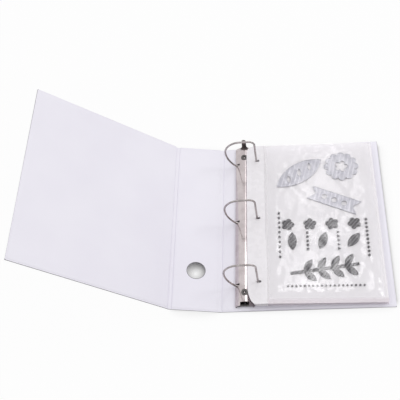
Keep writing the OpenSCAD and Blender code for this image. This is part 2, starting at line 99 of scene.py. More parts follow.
def makeCamera(spec):
    azimuth, elevation, roll = (math.radians(spec[key]) for key in ("azimuth", "elevation", "roll"))
    flat = math.cos(elevation)
    ahead = Vector((math.sin(azimuth) * flat, math.cos(azimuth) * flat, -math.sin(elevation)))
    right = Vector((math.cos(azimuth), -math.sin(azimuth), 0))
    down = ahead.cross(right)
    across = right * math.cos(roll) + down * math.sin(roll)
    below = down * math.cos(roll) - right * math.sin(roll)
    aim = Matrix((across, -below, -ahead)).transposed().to_4x4()
    lens = bpy.data.cameras.new("camera")
    lens.lens = spec["lens"]
    lens.sensor_width = spec["sensor"]
    eye = bpy.data.objects.new("camera", lens)
    eye.matrix_world = Matrix.Translation(spec["place"]) @ aim
    scene.collection.objects.link(eye)
    scene.camera = eye


makeCamera(camera)
print("camera placed")


# a shader socket that can be used in sums
class Socket:
    def __init__(self, tree, out=None):
        self.tree = tree
        self.out = out

    def node(self, kind, settings=None, sockets=None, output=0):
        made = self.tree.nodes.new(kind)
        for key, value in (settings or {}).items():
            setattr(made, key, value)
        for key, value in (sockets or {}).items():
            if isinstance(value, Socket):
                self.tree.links.new(value.out, made.inputs[key])
            else:
                made.inputs[key].default_value = value
        return Socket(self.tree, made.outputs[output])

    def math(self, operation, first, second):
        return self.node("ShaderNodeMath", {"operation": operation}, {0: first, 1: second})

    def __add__(self, other):
        return self.math("ADD", self, other)

    def __radd__(self, other):
        return self.math("ADD", other, self)

    def __sub__(self, other):
        return self.math("SUBTRACT", self, other)

    def __rsub__(self, other):
        return self.math("SUBTRACT", other, self)

    def __mul__(self, other):
        return self.math("MULTIPLY", self, other)

    def __rmul__(self, other):
        return self.math("MULTIPLY", other, self)

    def spread(self, span):    # from a base, by a share of this value
        return span[0] + span[1] * self

    def step(self, low, high):
        sockets = {"Value": self, "From Min": low, "From Max": high}
        return self.node("ShaderNodeMapRange", {"interpolation_type": "SMOOTHSTEP"}, sockets)

    def paint(self, first, second):
        return self.node("ShaderNodeMix", {"data_type": "RGBA"}, {0: self, 6: first, 7: second}, 2)

    def spot(self, stretch=(1, 1, 1), turn=(0, 0, 0)):
        point = self.node("ShaderNodeTexCoord", output="Object")
        return self.node("ShaderNodeMapping", {}, {"Vector": point, "Rotation": turn, "Scale": stretch})

    def axis(self, name):
        return self.node("ShaderNodeSeparateXYZ", {}, {"Vector": self}, name)

    def attribute(self, name):
        return self.node("ShaderNodeAttribute", {"attribute_name": name}, output="Fac")

    def ray(self, kind):
        return self.node("ShaderNodeLightPath", output="Is %s Ray" % kind)

    def cloud(self, point, scale, detail, rough=0.5):
        sockets = {"Vector": point, "Scale": scale, "Detail": detail, "Roughness": rough}
        return self.node("ShaderNodeTexNoise", {}, sockets)

    def stripes(self, point, pitch, wander):
        sockets = {"Vector": point, "Scale": waveLength / pitch, "Distortion": wander}
        return self.node("ShaderNodeTexWave", {}, sockets)

    def bump(self, strength=1.0):    # of a height in metres
        return self.node("ShaderNodeBump", {}, {"Height": self, "Distance": 1.0, "Strength": strength})


def makeFinish(name, constants, build, spec):
    material = bpy.data.materials.new(name)
    material.use_nodes = True
    tree = material.node_tree
    shader = tree.nodes["Principled BSDF"]
    for key, value in constants.items():
        shader.inputs[key].default_value = value
    for key, value in build(Socket(tree), spec).items():
        tree.links.new(value.out, shader.inputs[key])
    return material


vinyl = {
    "light": (0.853, 0.834, 0.905, 1),
    "dull": (0.818, 0.795, 0.875, 1),
    "edge": (0.22, 0.213, 0.23, 1),    # painted shade on the faces marked as seam: the welded edges' sides, the finger hole's lip and wall and the grooves' ends
    "cloudScale": 7,
    "cloudEdge": (0.3, 0.7),
    "grainScale": 1600,
    "grainDepth": 0.06 * mm,
    "waveScale": 22,
    "waveDepth": 0.5 * mm,
    "relief": 0.5,
    "rough": (0.36, 0.14),
}


def vinylNodes(start, spec):
    point = start.spot()
    cloud = start.cloud(point, spec["cloudScale"], 3)
    grain = start.cloud(point, spec["grainScale"], 3)
    wave = start.cloud(point, spec["waveScale"], 1)
    skin = cloud.step(*spec["cloudEdge"]).paint(spec["dull"], spec["light"])
    height = grain * spec["grainDepth"] + wave * spec["waveDepth"]
    return {
        # painted shade: faces marked as seam take the dark edge colour
        "Base Color": start.attribute("seam").paint(skin, spec["edge"]),
        "Roughness": grain.spread(spec["rough"]),
        "Normal": height.bump(spec["relief"]),
    }


board = {
    "pulp": (0.46, 0.43, 0.40, 1),
    "fleck": (0.28, 0.25, 0.23, 1),
    "fibre": (900, 900, 2600),
    "fibreEdge": (0.35, 0.65),
    "fibreDepth": 0.15 * mm,
    "rough": (0.8, 0.15),
}


def boardNodes(start, spec):
    fibre = start.cloud(start.spot(spec["fibre"]), 1, 5, 0.7)
    return {
        "Base Color": fibre.step(*spec["fibreEdge"]).paint(spec["fleck"], spec["pulp"]),
        "Roughness": fibre.spread(spec["rough"]),
        "Normal": (fibre * spec["fibreDepth"]).bump(),
    }


nickel = {
    "bright": (0.61, 0.55, 0.555, 1),
    "worn": (0.52, 0.465, 0.47, 1),
    "smearScale": 60,
    "smearEdge": (0.35, 0.7),
    "drawLines": (2600, 30, 2600),
    "lineDepth": 0.003 * mm,
    "lineRough": 0.05,
    "rough": (0.1, 0.08),
}


def nickelNodes(start, spec):
    line = start.cloud(start.spot(spec["drawLines"]), 1, 3)
    smear = start.cloud(start.spot(), spec["smearScale"], 3)
    return {
        "Base Color": smear.step(*spec["smearEdge"]).paint(spec["bright"], spec["worn"]),
        "Roughness": smear.spread(spec["rough"]) + spec["lineRough"] * line,
        "Normal": (line * spec["lineDepth"]).bump(),
    }


# ring wire; the dark steel of the leaves and the rivets is painted shade for the inside of the plate's
# channel and the rivets' grooves, and the lever's lighter copy of it is partly painted shade
wire = {
    "face": (0.5, 0.46, 0.46, 1),
    "rubbed": (0.33, 0.30, 0.295, 1),
    "smear": (180, 3),    # scale and detail
    "smearEdge": (0.35, 0.7),
    "rough": (0.14, 0.12),
}
paintedShadeSteel = {
    "face": (0.12, 0.113, 0.113, 1),
    "rubbed": (0.30, 0.285, 0.285, 1),
    "smear": (240, 4),
    "smearEdge": (0.55, 0.75),
    "rough": (0.24, 0.12),
}
leverSteelAndShade = {**paintedShadeSteel, "face": (0.26, 0.235, 0.23, 1), "rubbed": (0.46, 0.43, 0.425, 1)}


def rubbedSteelNodes(start, spec):
    smear = start.cloud(start.spot(), *spec["smear"])
    return {
        "Base Color": smear.step(*spec["smearEdge"]).paint(spec["face"], spec["rubbed"]),
        "Roughness": smear.spread(spec["rough"]),
    }


# clear film: a faint mirror that is milky at its welds and its hem; the hem's pinkish grey is painted shade
# for the stack's shaded lower edge
film = {
    "tint": (0.97, 0.955, 0.97, 1),
    "hemTint": (0.86, 0.79, 0.83, 1),
    "haze": 0.03,
    "cloudy": 0.045,
    "cloudScale": 30,
    "cloudEdge": (0.45, 0.8),
    "weld": 0.1,
    "hem": 0.08,
    "glancing": 0.12,
    "ripple": (55, 140, 55),
    "rippleTurn": (0, 0, 0.6),
    "rippleDepth": 0.4 * mm,
    "relief": 0.6,
    "rough": (0.09, 0.1),
}
underFilm = {
    "tint": film["tint"],
    "hemTint": film["hemTint"],
    "haze": 0.004,
    "cloudy": (0.75, 0.5),
    "cloudScale": 18,
    "weld": 0.03,
    "hem": 0.04,
    "glancing": 0.07,
    "rough": (0.3, 0.2),
}


def filmCover(start, spec, haze):
    weld, hem = start.attribute("weld"), start.attribute("hem")
    facing = start.node("ShaderNodeLayerWeight", {}, {"Blend": 0.5}, "Facing")
    milky = haze + spec["weld"] * weld + spec["hem"] * hem
    return {
        # the hem's pinkish grey is painted shade
        "Base Color": hem.paint(spec["tint"], spec["hemTint"]),
        "Metallic": (1 - weld) * (1 - hem),
        "Alpha": milky + spec["glancing"] * facing * facing * facing,
    }


def filmNodes(start, spec):
    cloud = start.cloud(start.spot(), spec["cloudScale"], 3)
    ripple = start.cloud(start.spot(spec["ripple"], spec["rippleTurn"]), 1, 2)
    haze = spec["haze"] + spec["cloudy"] * cloud.step(*spec["cloudEdge"])
    return {
        **filmCover(start, spec, haze),
        "Roughness": cloud.spread(spec["rough"]),
        "Normal": (ripple * spec["rippleDepth"]).bump(spec["relief"]),
    }


def underFilmNodes(start, spec):
    cloud = start.cloud(start.spot(), spec["cloudScale"], 2)
    haze = spec["haze"] * cloud.spread(spec["cloudy"])
    return {**filmCover(start, spec, haze), "Roughness": cloud.spread(spec["rough"])}


# frosted film of the strips and of the top pocket's back
stripFilm = {
    "tint": (0.975, 0.95, 0.98, 1),
    "cloudScale": 60,
    "cover": (0.7, 0.15),
    "rough": (0.2, 0.15),
}
backingFilm = {
    "tint": (0.98, 0.955, 0.985, 1),
    "cloudScale": 25,
    "cover": (0.58, 0.15),
    "rough": (0.3, 0.2),
}


def frostedNodes(start, spec):
    cloud = start.cloud(start.spot(), spec["cloudScale"], 3)
    return {"Roughness": cloud.spread(spec["rough"]), "Alpha": cloud.spread(spec["cover"])}


stampRubber = {
    "black": (0.016, 0.015, 0.018, 1),
    "dusty": (0.05, 0.048, 0.056, 1),
    "faded": (0.20, 0.19, 0.21, 1),
    "dustScale": 420,
    "dustEdge": (0.5, 0.8),
    "dustDepth": 0.05 * mm,
    "hatch": 4.2 * mm,
    "hatchTurn": (0, 0, 0.7),
    "hatchWander": 1.5,
    "hatchEdge": (0.55, 0.8),
    "hatchShare": 0.8,
    "rough": (0.5, 0.25),
}


def stampRubberNodes(start, spec):
    dust = start.cloud(start.spot(), spec["dustScale"], 4)
    lines = start.stripes(start.spot(turn=spec["hatchTurn"]), spec["hatch"], spec["hatchWander"])
    ink = dust.step(*spec["dustEdge"]).paint(spec["black"], spec["dusty"])
    return {
        "Base Color": (spec["hatchShare"] * lines.step(*spec["hatchEdge"])).paint(ink, spec["faded"]),
        "Roughness": dust.spread(spec["rough"]),
        "Normal": (dust * spec["dustDepth"]).bump(),
    }


# die steel: brushed, with a generic line pattern for the embossed detail; the lines' light colour is a
# painted highlight
dieSteel = {
    "face": (0.35, 0.345, 0.39, 1),
    "light": (0.44, 0.432, 0.48, 1),
    "line": (0.74, 0.73, 0.77, 1),
    "brushing": (120, 2200, 120),
    "brushTurn": (0, 0, 0.5),
    "brushEdge": (0.3, 0.7),
    "brushDepth": 0.01 * mm,
    "linePitch": 6 * mm,
    "lineTurn": (0, 0, 0.25),
    "lineWander": 0.6,
    "lineEdge": (0.8, 0.96),
    "lineShare": 0.4,
    "lineDepth": 0.08 * mm,
    "rough": (0.34, 0.14),
}


def dieSteelNodes(start, spec):
    brush = start.cloud(start.spot(spec["brushing"], spec["brushTurn"]), 1, 3)
    lines = start.stripes(start.spot(turn=spec["lineTurn"]), spec["linePitch"], spec["lineWander"])
    steel = brush.step(*spec["brushEdge"]).paint(spec["face"], spec["light"])
    groove = lines.step(*spec["lineEdge"])
    return {
        # lighter lines: painted highlight over a shallow sunk line in the bump
        "Base Color": (spec["lineShare"] * groove).paint(steel, spec["line"]),
        "Roughness": brush.spread(spec["rough"]),
        "Normal": (brush * spec["brushDepth"] - groove * spec["lineDepth"]).bump(),
    }


allMetal = {"Metallic": 1.0}
finishes = {
    "vinyl": makeFinish("whiteVinyl", {}, vinylNodes, vinyl),
    "board": makeFinish("greyBoard", {}, boardNodes, board),
    "nickel": makeFinish("brightNickel", allMetal, nickelNodes, nickel),
    "dark_steel": makeFinish("paintedShadeLeafSteel", allMetal, rubbedSteelNodes, paintedShadeSteel),
    "lever_steel_and_shade": makeFinish("leverSteelAndShade", allMetal, rubbedSteelNodes, leverSteelAndShade),
    "wire": makeFinish("drawnWire", allMetal, rubbedSteelNodes, wire),
    "clear_film": makeFinish("clearFilm", {}, filmNodes, film),
    "under_film": makeFinish("underFilm", {}, underFilmNodes, underFilm),
    "backing_film": makeFinish("backingFilm", {"Base Color": backingFilm["tint"]}, frostedNodes, backingFilm),
    "strip_film": makeFinish("stripFilm", {"Base Color": stripFilm["tint"]}, frostedNodes, stripFilm),
    "stamp_rubber": makeFinish("stampRubber", {}, stampRubberNodes, stampRubber),
    "die_steel": makeFinish("dieSteel", {"Metallic": 0.85}, dieSteelNodes, dieSteel),
}
print("finishes made:", len(finishes))


def newPiece(name, bm, finish, body, replaced):
    for edge in bm.edges:
        edge.smooth = edge.is_manifold and edge.calc_face_angle(0) < sharpAngle
    for face in bm.faces:
        face.smooth = True
    mesh = bpy.data.meshes.new(name)
    bm.to_mesh(mesh)
    bm.free()
    mesh.materials.append(finishes[finish])
    piece = bpy.data.objects.new(name, mesh)
    scene.collection.objects.link(piece)
    if body:
        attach(piece, body)
    if replaced:
        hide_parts(*replaced)
    return piece


def thicken(piece, thickness, side=-1):
    wall = piece.modifiers.new("thickness", "SOLIDIFY")
    wall.thickness = thickness
    wall.offset = side


def layGrid(bm, low, high, across, along, height):
    middle = Vector(((low[0] + high[0]) / 2, (low[1] + high[1]) / 2, height))
    place = Matrix.Translation(middle) @ Matrix.Diagonal((high[0] - low[0], high[1] - low[1], 1, 1))
    bmesh.ops.create_grid(bm, x_segments=across, y_segments=along, size=0.5, matrix=place)


def vertsOf(geom):
    return [item for item in geom if isinstance(item, bmesh.types.BMVert)]


def extendEdges(bm, edges):
    made = bmesh.ops.extrude_edge_only(bm, edges=edges)["geom"]
    return vertsOf(made), [item for item in made if isinstance(item, bmesh.types.BMEdge)]


def dropEdges(bm, edges, height):
    verts, edges = extendEdges(bm, edges)
    for vert in verts:
        vert.co.z = height
    return verts, edges


# a round of edges, pulled apart to the left and right where it is a slot
def roundLoop(bm, centre, radius, sides, left=0, right=0):
    made = bmesh.ops.create_circle(
        bm, cap_ends=False, segments=sides, radius=radius, matrix=Matrix.Translation(centre))
    for vert in made["verts"]:
        vert.co.x += right if vert.co.x > centre[0] else -left
    return list({edge for vert in made["verts"] for edge in vert.link_edges})


# fills a flat face anew, with the loops left open in it
def punch(bm, face, loops):
    rim = list(face.edges)
    normal = face.normal.copy()
    bmesh.ops.delete(bm, geom=[face], context="FACES_ONLY")
    edges = rim + [edge for loop in loops for edge in loop]
    bmesh.ops.triangle_fill(bm, use_beauty=True, use_dissolve=False, edges=edges, normal=normal)


def turned(pivot, angle):
    return Matrix.Translation(pivot) @ Matrix.Rotation(angle, 4, "Y") @ Matrix.Translation(-pivot)


def smoothstep(value):
    value = min(max(value, 0), 1)
    return value * value * (3 - 2 * value)


# vinyl covers: trays over the boards, flat sheets outside, bending strips in the grooves
covers = {
    "skin": 0.35 * mm,
    "bead": 2.3 * mm,
    "weldSteps": ((0.9, 0.05), (0.25, -0.2), (0.35, 0), (0.5, 0.4), (0.7, 0.3)),    # in and up, in mm
    "wallSteps": ((0.9, 0.18), (1.4, 0.07), (1.0, 0)),
    "outerSteps": ((1.2, 0), (0.25, -0.2), (0.5, 0), (0.25, 0.2), (0.5, 0)),
    "outerIn": 0.4 * mm,
    "seam": ((1.4, 0), (1.25, 0.2), (1.1, 0), (0.03, 0)),    # height and pull of the welded edge, in mm
    "edgeNear": 1 * mm,
    "cornerRound": 1.2 * mm,
    "cornerSteps": 3,
    "cornerNear": 0.3 * mm,
    "uprightLeast": 0.05 * mm,
    "holeSides": 64,
    "fingerHole": (14 * mm, 65 * mm),    # radius, and height above the lower edge
    "lip": 0.8 * mm,
    "lipWall": 0.5 * mm,
    "rivetHole": 5.1 * mm,
    "trayShell": 0.2 * mm,
    "sheetShell": 0.3 * mm,
}
coverLow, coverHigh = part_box("back_outer_skin")
backPivot = Vector(joints["spine_hinge"]["pos_m"])
pivotSpan = (Vector(joints["front_cover_hinge"]["pos_m"]) - backPivot).length
frontPivot = backPivot - Vector((pivotSpan, 0, 0))
grooveWidth = 2 * (coverLow.x - backPivot.x)
toSpine = turned(backPivot, math.radians(joints["spine_hinge"]["range_deg"][1]))
toFront = toSpine @ turned(frontPivot, math.radians(joints["front_cover_hinge"]["range_deg"][1]))
spineHigh = coverLow.x - grooveWidth
spineLow = coverLow.x - pivotSpan
frontHigh = spineLow - grooveWidth
frontLow = frontHigh - (coverHigh.x - coverLow.x)
# laid flat: low and high x, whether a groove is there, the place at rest, the body
panels = {
    "back": (coverLow.x, coverHigh.x, True, False, Matrix.Identity(4), "back_cover"),
    "spine": (spineLow, spineHigh, True, True, toSpine, "spine"),
    "front": (frontLow, frontHigh, False, True, toFront, "front_cover"),
}


# a flat panel that is stepped inwards from its welded edge, and cut off square at its grooves
def steppedPanel(panel, spec, steps, grooveSteps, edgeIn, height, normal, holes):
    low, high, openLow, openHigh = panel[:4]
    margin = sum(width for width, depth in grooveSteps) * mm
    bm = bmesh.new()
    bm.faces.layers.float.new("seam")
    layGrid(bm, (low - margin if openLow else low + edgeIn, coverLow.y + edgeIn),
            (high + margin if openHigh else high - edgeIn, coverHigh.y - edgeIn), 1, 1, height)
    bm.faces.ensure_lookup_table()
    face = bm.faces[0]
    if face.normal.z * normal < 0:
        bmesh.ops.reverse_faces(bm, faces=[face])
    for width, depth in steps:
        bmesh.ops.inset_region(bm, faces=[face], thickness=width * mm, depth=depth * mm,
                               use_even_offset=True, use_boundary=True)
    if holes:
        level = face.calc_center_median().z
        sides = spec["holeSides"]
        punch(bm, face, [roundLoop(bm, (x, y, level), radius, sides) for x, y, radius in holes])
    for side, isOpen, at in ((-1, openLow, low), (1, openHigh, high)):
        if isOpen:
            bmesh.ops.bisect_plane(bm, geom=bm.verts[:] + bm.edges[:] + bm.faces[:],
                                   plane_co=(at, 0, 0), plane_no=(side, 0, 0), clear_outer=True)
    return bm


# the inner skin: a rim at the weld, a slope up to the board and a square drop into each groove
def trayPanel(panel, spec, holes):
    low, high, openLow, openHigh, place = panel[:5]
    opened = [at for at, isOpen in ((low, openLow), (high, openHigh)) if isOpen]
    closed = [at for at in (low, high) if at not in opened]
    bm = steppedPanel(panel, spec, spec["weldSteps"] + spec["wallSteps"], spec["weldSteps"],
                      0, spec["bead"], 1, holes)
    seam = bm.faces.layers.float["seam"]
    rim, grooveSides, cut = [], [], []
    for edge in bm.edges:
        if edge.is_boundary:
            if any(max(abs(v.co.x - at) for v in edge.verts) < tiny for at in opened):
                grooveSides.append(edge)
            elif max(v.co.z for v in edge.verts) < spec["bead"] + tiny:
                rim.append(edge)
            else:
                cut.append(edge)
    dropEdges(bm, grooveSides, 2 * spec["skin"])
    for x, y, radius in holes:    # a lip and wall where the finger hole is cut, marked seam and painted dark as the hole's shade
        for narrow, height in ((spec["lip"], cut[0].verts[0].co.z), (0, 2 * spec["skin"])):
            verts, cut = dropEdges(bm, cut, height)
            for vert in verts:
                vert.co -= Vector((vert.co.x - x, vert.co.y - y, 0)).normalized() * narrow
            for edge in cut:
                edge.link_faces[0][seam] = 1
    pulled = 0
    # the welded edge's side faces are marked seam, so they are painted dark as shade
    for height, pull in spec["seam"]:
        verts, rim = dropEdges(bm, rim, height * mm)
        for edge in rim:
            edge.link_faces[0][seam] = 1
        for vert in verts:
            for at in closed:
                if abs(abs(vert.co.x - at) - pulled * mm) < tiny:
                    vert.co.x += math.copysign(pull - pulled, -at) * mm
            if abs(vert.co.y) > coverHigh.y - spec["edgeNear"]:
                vert.co.y -= math.copysign(pull - pulled, vert.co.y) * mm
        pulled = pull
    near = spec["cornerNear"]
    uprights = [e for e in bm.edges if (e.verts[0].co - e.verts[1].co).xy.length < near
                and abs(e.verts[0].co.z - e.verts[1].co.z) > spec["uprightLeast"]
                and any(abs(e.verts[0].co.x - at) < near for at in closed)
                and abs(e.verts[0].co.y) > coverHigh.y - near]
    if uprights:
        bmesh.ops.bevel(bm, geom=uprights, offset=spec["cornerRound"], segments=spec["cornerSteps"],
                        profile=0.5, affect="EDGES", material=-1)
    bmesh.ops.recalc_face_normals(bm, faces=bm.faces)
    if max(bm.faces, key=lambda f: f.calc_area()).normal.z < 0:
        bmesh.ops.reverse_faces(bm, faces=bm.faces)
    bmesh.ops.transform(bm, matrix=place, verts=bm.verts)
    return bm


rivetLow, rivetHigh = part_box("rivets")
rivetX = (rivetLow.x + rivetHigh.x) / 2
rivetIn = (rivetHigh.x - rivetLow.x) / 2
rivetYs = (rivetLow.y + rivetIn, rivetHigh.y - rivetIn)
holeRadius, holeUp = covers["fingerHole"]
punched = {
    "back": [(rivetX, y, covers["rivetHole"]) for y in rivetYs],
    "spine": [((spineLow + spineHigh) / 2, coverLow.y + holeUp, holeRadius)],
    "front": [],
}
for name, panel in panels.items():
    place, body = panel[4:]
    lip = covers["lip"] - covers["lipWall"]
    inside = [(x, y, radius + lip) for x, y, radius in punched[name] if name == "spine"]
    tray = trayPanel(panel, covers, inside)
    piece = newPiece(name + "InnerVinyl", tray, "vinyl", body, [name + "_inner_skin"])
    thicken(piece, covers["trayShell"])
    sheet = steppedPanel(panel, covers, covers["outerSteps"], covers["outerSteps"],
                         covers["outerIn"], 0, -1, punched[name])
    bmesh.ops.transform(sheet, matrix=place, verts=sheet.verts)
    piece = newPiece(name + "OuterVinyl", sheet, "vinyl", body, [name + "_outer_skin"])
    thicken(piece, covers["sheetShell"])

hinges = {
    "across": 40,
    "along": 72,
    "lines": {"back": (0.2,), "front": (0.1, 0.9)},    # shares of the groove's width
    "lineHalf": 0.07,
    "lineDepth": 0.75 * mm,
    "top": 2.8 * mm,
    "foot": 0.05 * mm,
    "endIn": 0.3 * mm,
    "endHigh": 1.6 * mm,
    "endFade": 5 * mm,
    "endFacing": 0.7,
}


# the bending strip of a groove: pressed lines along it, and thinner at its ends
def hingeSheet(low, high, fromPlace, toPlace, lines, spec):
    bm = bmesh.new()
    seam = bm.faces.layers.float.new("seam")
    layGrid(bm, (low, coverLow.y + spec["endIn"]), (high, coverHigh.y - spec["endIn"]),
            spec["across"], spec["along"], 0)
    for vert in bm.verts:
        share = (high - vert.co.x) / (high - low)
        nearest = min(abs(share - line) for line in lines)
        fade = smoothstep((coverHigh.y - abs(vert.co.y)) / spec["endFade"])
        top = spec["endHigh"] + fade * (spec["top"] - spec["endHigh"])
        vert.co.z = top - spec["lineDepth"] * smoothstep(1 - nearest / spec["lineHalf"])
    for vert in vertsOf(bmesh.ops.extrude_face_region(bm, geom=bm.faces[:])["geom"]):
        vert.co.z = spec["foot"]
    bmesh.ops.recalc_face_normals(bm, faces=bm.faces)
    # the end faces are marked seam, so they are painted dark as shade
    for face in bm.faces:
        face[seam] = abs(face.normal.y) > spec["endFacing"]
    for vert in bm.verts:
        share = (high - vert.co.x) / (high - low)
        vert.co = (fromPlace @ vert.co).lerp(toPlace @ vert.co, smoothstep(share))
    return bm


grooves = {
    "back": (spineHigh, coverLow.x, Matrix.Identity(4), toSpine, "back_cover", "spine"),
    "front": (frontHigh, spineLow, toSpine, toFront, "spine", "front_cover"),
}
for name, (low, high, fromPlace, toPlace, fromBody, toBody) in grooves.items():
    strip = hingeSheet(low, high, fromPlace, toPlace, hinges["lines"][name], hinges)
    piece = newPiece(name + "GrooveVinyl", strip, "vinyl", None, [name + "_hinge_strip"])
    level = Vector((0, 0, backPivot.z))
    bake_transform(piece, fromBody, toBody,
             fromPlace @ (Vector((high, 0, 0)) + level), toPlace @ (Vector((low, 0, 0)) + level))
print("covers made")

# pressed and drawn metal: smooth, soft-edged copies of the solids
metal = {
    "merge": 0.002 * mm,
    "flat": math.radians(0.6),
    "edge": 0.12 * mm,
    "edgeSteps": 2,
    "edgeAngle": math.radians(38),
    "bladeHigh": 0.35 * mm,
    "bladeThick": 0.5 * mm,
    "topFacing": 0.9,
    "wallFacing": 0.5,
    "slots": {"wire": "nickel", "rivets": "nickel", "lever_steel_and_shade": "dark_steel"},
    "blades": {
        "leafDieEdge": "sprig_die",
        "scallopDieEdge": "scallop_die",
        "ribbonDieEdge": "ribbon_die",
    },
}
metalPieces = {
    "ringPlate": ("ring_plate", "nickel"),
    # the leaves and the rivets take the dark steel as painted shade
    "leftLeaf": ("left_leaf", "dark_steel"),
    "rightLeaf": ("right_leaf", "dark_steel"),
    "openingLever": ("opening_lever", "lever_steel_and_shade"),
    "leverPin": ("lever_pin", "nickel"),
    "tubeRivets": ("rivets", "dark_steel"),
    "leafDie": ("sprig_die", "die_steel"),
    "scallopDie": ("scallop_die", "die_steel"),
    "ribbonDie": ("ribbon_die", "die_steel"),
    "rubberStamps": ("rubber_stamps", "stamp_rubber"),
}
ringPlaces = ("upper", "middle", "lower")
for place in ringPlaces:
    for side in ("left", "right"):
        metalPieces[place + side.title() + "Ring"] = (place + "_" + side + "_ring", "wire")


def softCopy(node, spec):
    bm = bmesh.new()
    bm.from_mesh(cadNodes[node].data)
    bmesh.ops.remove_doubles(bm, verts=bm.verts, dist=spec["merge"])
    bmesh.ops.dissolve_limit(bm, angle_limit=spec["flat"], use_dissolve_boundaries=False,
                             verts=bm.verts, edges=bm.edges, delimit={"NORMAL"})
    return bm


# the raised cutting edge that follows the outline and the windows of a die
def cuttingEdge(node, spec):
    bm = softCopy(node, spec)
    plate = bm.faces[:]
    rim = [edge for edge in bm.edges if len(edge.link_faces) == 2
           and max(face.normal.z for face in edge.link_faces) > spec["topFacing"]
           and abs(min(face.normal.z for face in edge.link_faces)) < spec["wallFacing"]]
    raised = extendEdges(bm, rim)[0]
    bmesh.ops.translate(bm, vec=(0, 0, spec["bladeHigh"]), verts=raised)
    bmesh.ops.delete(bm, geom=plate, context="FACES")
    return bm


for name, (node, finish) in metalPieces.items():
    piece = newPiece(name, softCopy(node, metal), finish, cadNodes[node]["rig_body"], [node])
    soften = piece.modifiers.new("edges", "BEVEL")
    soften.width = metal["edge"]
    soften.segments = metal["edgeSteps"]
    soften.limit_method = "ANGLE"
    soften.angle_limit = metal["edgeAngle"]
for name, node in metal["blades"].items():
    blade = cuttingEdge(node, metal)
    piece = newPiece(name, blade, "die_steel", cadNodes[node]["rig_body"], [])
    thicken(piece, metal["bladeThick"], 0)

# light cores that show in the open ends of the rivets
rivetCore = {
    "lift": 0.1 * mm,
    "bore": 2.08 * mm,
    "foot": 1 * mm,
    "radius": 1.15 * mm,
    "sunk": 0.7 * mm,
    "sides": 24,
    "edge": 0.3 * mm,
    "edgeSteps": ((0.4, 0.7), (1, 0.3)),    # in and up, in shares of the edge
}


def rivetCores(spec):
    tall = rivetHigh.z - rivetLow.z - spec["foot"] - spec["sunk"] - spec["edge"]
    steps = [(0, spec["foot"]), (spec["bore"] - spec["radius"], 0), (0, tall)]
    steps += [(narrow * spec["edge"], rise * spec["edge"]) for narrow, rise in spec["edgeSteps"]]
    bm = bmesh.new()
    for y in rivetYs:
        base = Matrix.Translation((rivetX, y, rivetLow.z + spec["lift"]))
        made = bmesh.ops.create_circle(
            bm, cap_ends=True, segments=spec["sides"], radius=spec["bore"], matrix=base)
        face = made["verts"][0].link_faces[0]
        for narrow, rise in steps:
            if narrow:
                bmesh.ops.inset_region(
                    bm, faces=[face], thickness=narrow, use_even_offset=True, use_boundary=True)
            else:
                face = bmesh.ops.extrude_discrete_faces(bm, faces=[face])["faces"][0]
            bmesh.ops.translate(bm, vec=(0, 0, rise), verts=face.verts)
    bmesh.ops.recalc_face_normals(bm, faces=bm.faces)
    return bm


newPiece("rivetCores", rivetCores(rivetCore), "nickel", "back_cover", [])
print("metal made:", len(metalPieces))

# clear pockets: a punched strip on the rings and a sleeve that hangs from it
pockets = {
    "names": ("one", "two", "three", "four", "five"),
    "solidFilm": 0.25 * mm,
    "filmThick": 0.12 * mm,
    "stripThick": 0.5 * mm,
    "stripFan": (3.5, 3.0, 2.4, 1.4, 0),    # how far each strip stands out, in mm
    "stripCorner": 12 * mm,
    "cornerSteps": 6,
    "cornerNear": 1 * mm,
    "lowCorner": 2.7,    # the lower corner is this much longer
    "holeIn": 12 * mm,
    "holeSides": 26,
    "topHole": (3.9 * mm, 0, 3.2 * mm),    # width, and reach to the left and right
    "topHoles": 2,
    "snugHole": (3.9 * mm, 1.4 * mm, 1.6 * mm),
    "foldSteps": (-0.9, -0.5, 0, 0.5, 0.9, 3.0),
    "border": 4 * mm,
    "hem": 6 * mm,
    "fade": 2 * mm,
    "weldCuts": (0.8, 1.5, 2.2, 2.9, 4.2, 6.0, 8.0),
    "cutNear": 1e-7,
    "weldLine": (1.85 * mm, 0.7 * mm),    # distance from the edge, and half its width
    "weldRidge": 0.1 * mm,
    "topGrid": (54, 88),
    "underGrid": (18, 30),
    "backGrid": (6, 8),
    "backFilm": -0.3 * mm,
    "weldFilm": 0.2 * mm,
    "fullFilm": 1.82 * mm,
    "climb": 12 * mm,
    "creases": ((0.62, 15, 80, 0.75), (-0.35, 12, 60, 0.6), (0.12, 24, 110, 0.55)),    # turn, then mm
    "creaseSharp": 2.4,
    "creaseLoss": (0.55, 1.6, 0.2),
    "swell": (55, 0.45),    # size and depth in mm
    "underWave": (0.2 * mm, 48 * mm),
}


# from the nearest weld; the upper end is the open mouth
def weldDistance(x, y, area):
    low, high = area
    return min(x - low.x, high.x - x, y - low.y)


def weldRidge(distance, spec):
    at, half = spec["weldLine"]
    return spec["weldRidge"] * smoothstep(1 - abs(distance - at) / half)


# folds of a slack film, in metres; they are deeper towards the closed end
def creaseHeight(x, y, spec, area):
    low, high = area
    loss, run, shift = spec["creaseLoss"]
    size, swell = spec["swell"]
    slack = 1 - loss * smoothstep((y - low.y) / (high.y - low.y) * run - shift)
    height = swell * (0.5 + noise.noise(Vector((x, y, 0)) / (size * mm)))
    for turn, wide, long, depth in spec["creases"]:
        across = x * math.cos(turn) + y * math.sin(turn)
        along = y * math.cos(turn) - x * math.sin(turn)
        value = noise.noise(Vector((across / (wide * mm), along / (long * mm), wide)))
        height += depth * slack * max(0, 1 - spec["creaseSharp"] * abs(value)) ** 2
    return max(height, 0) * mm


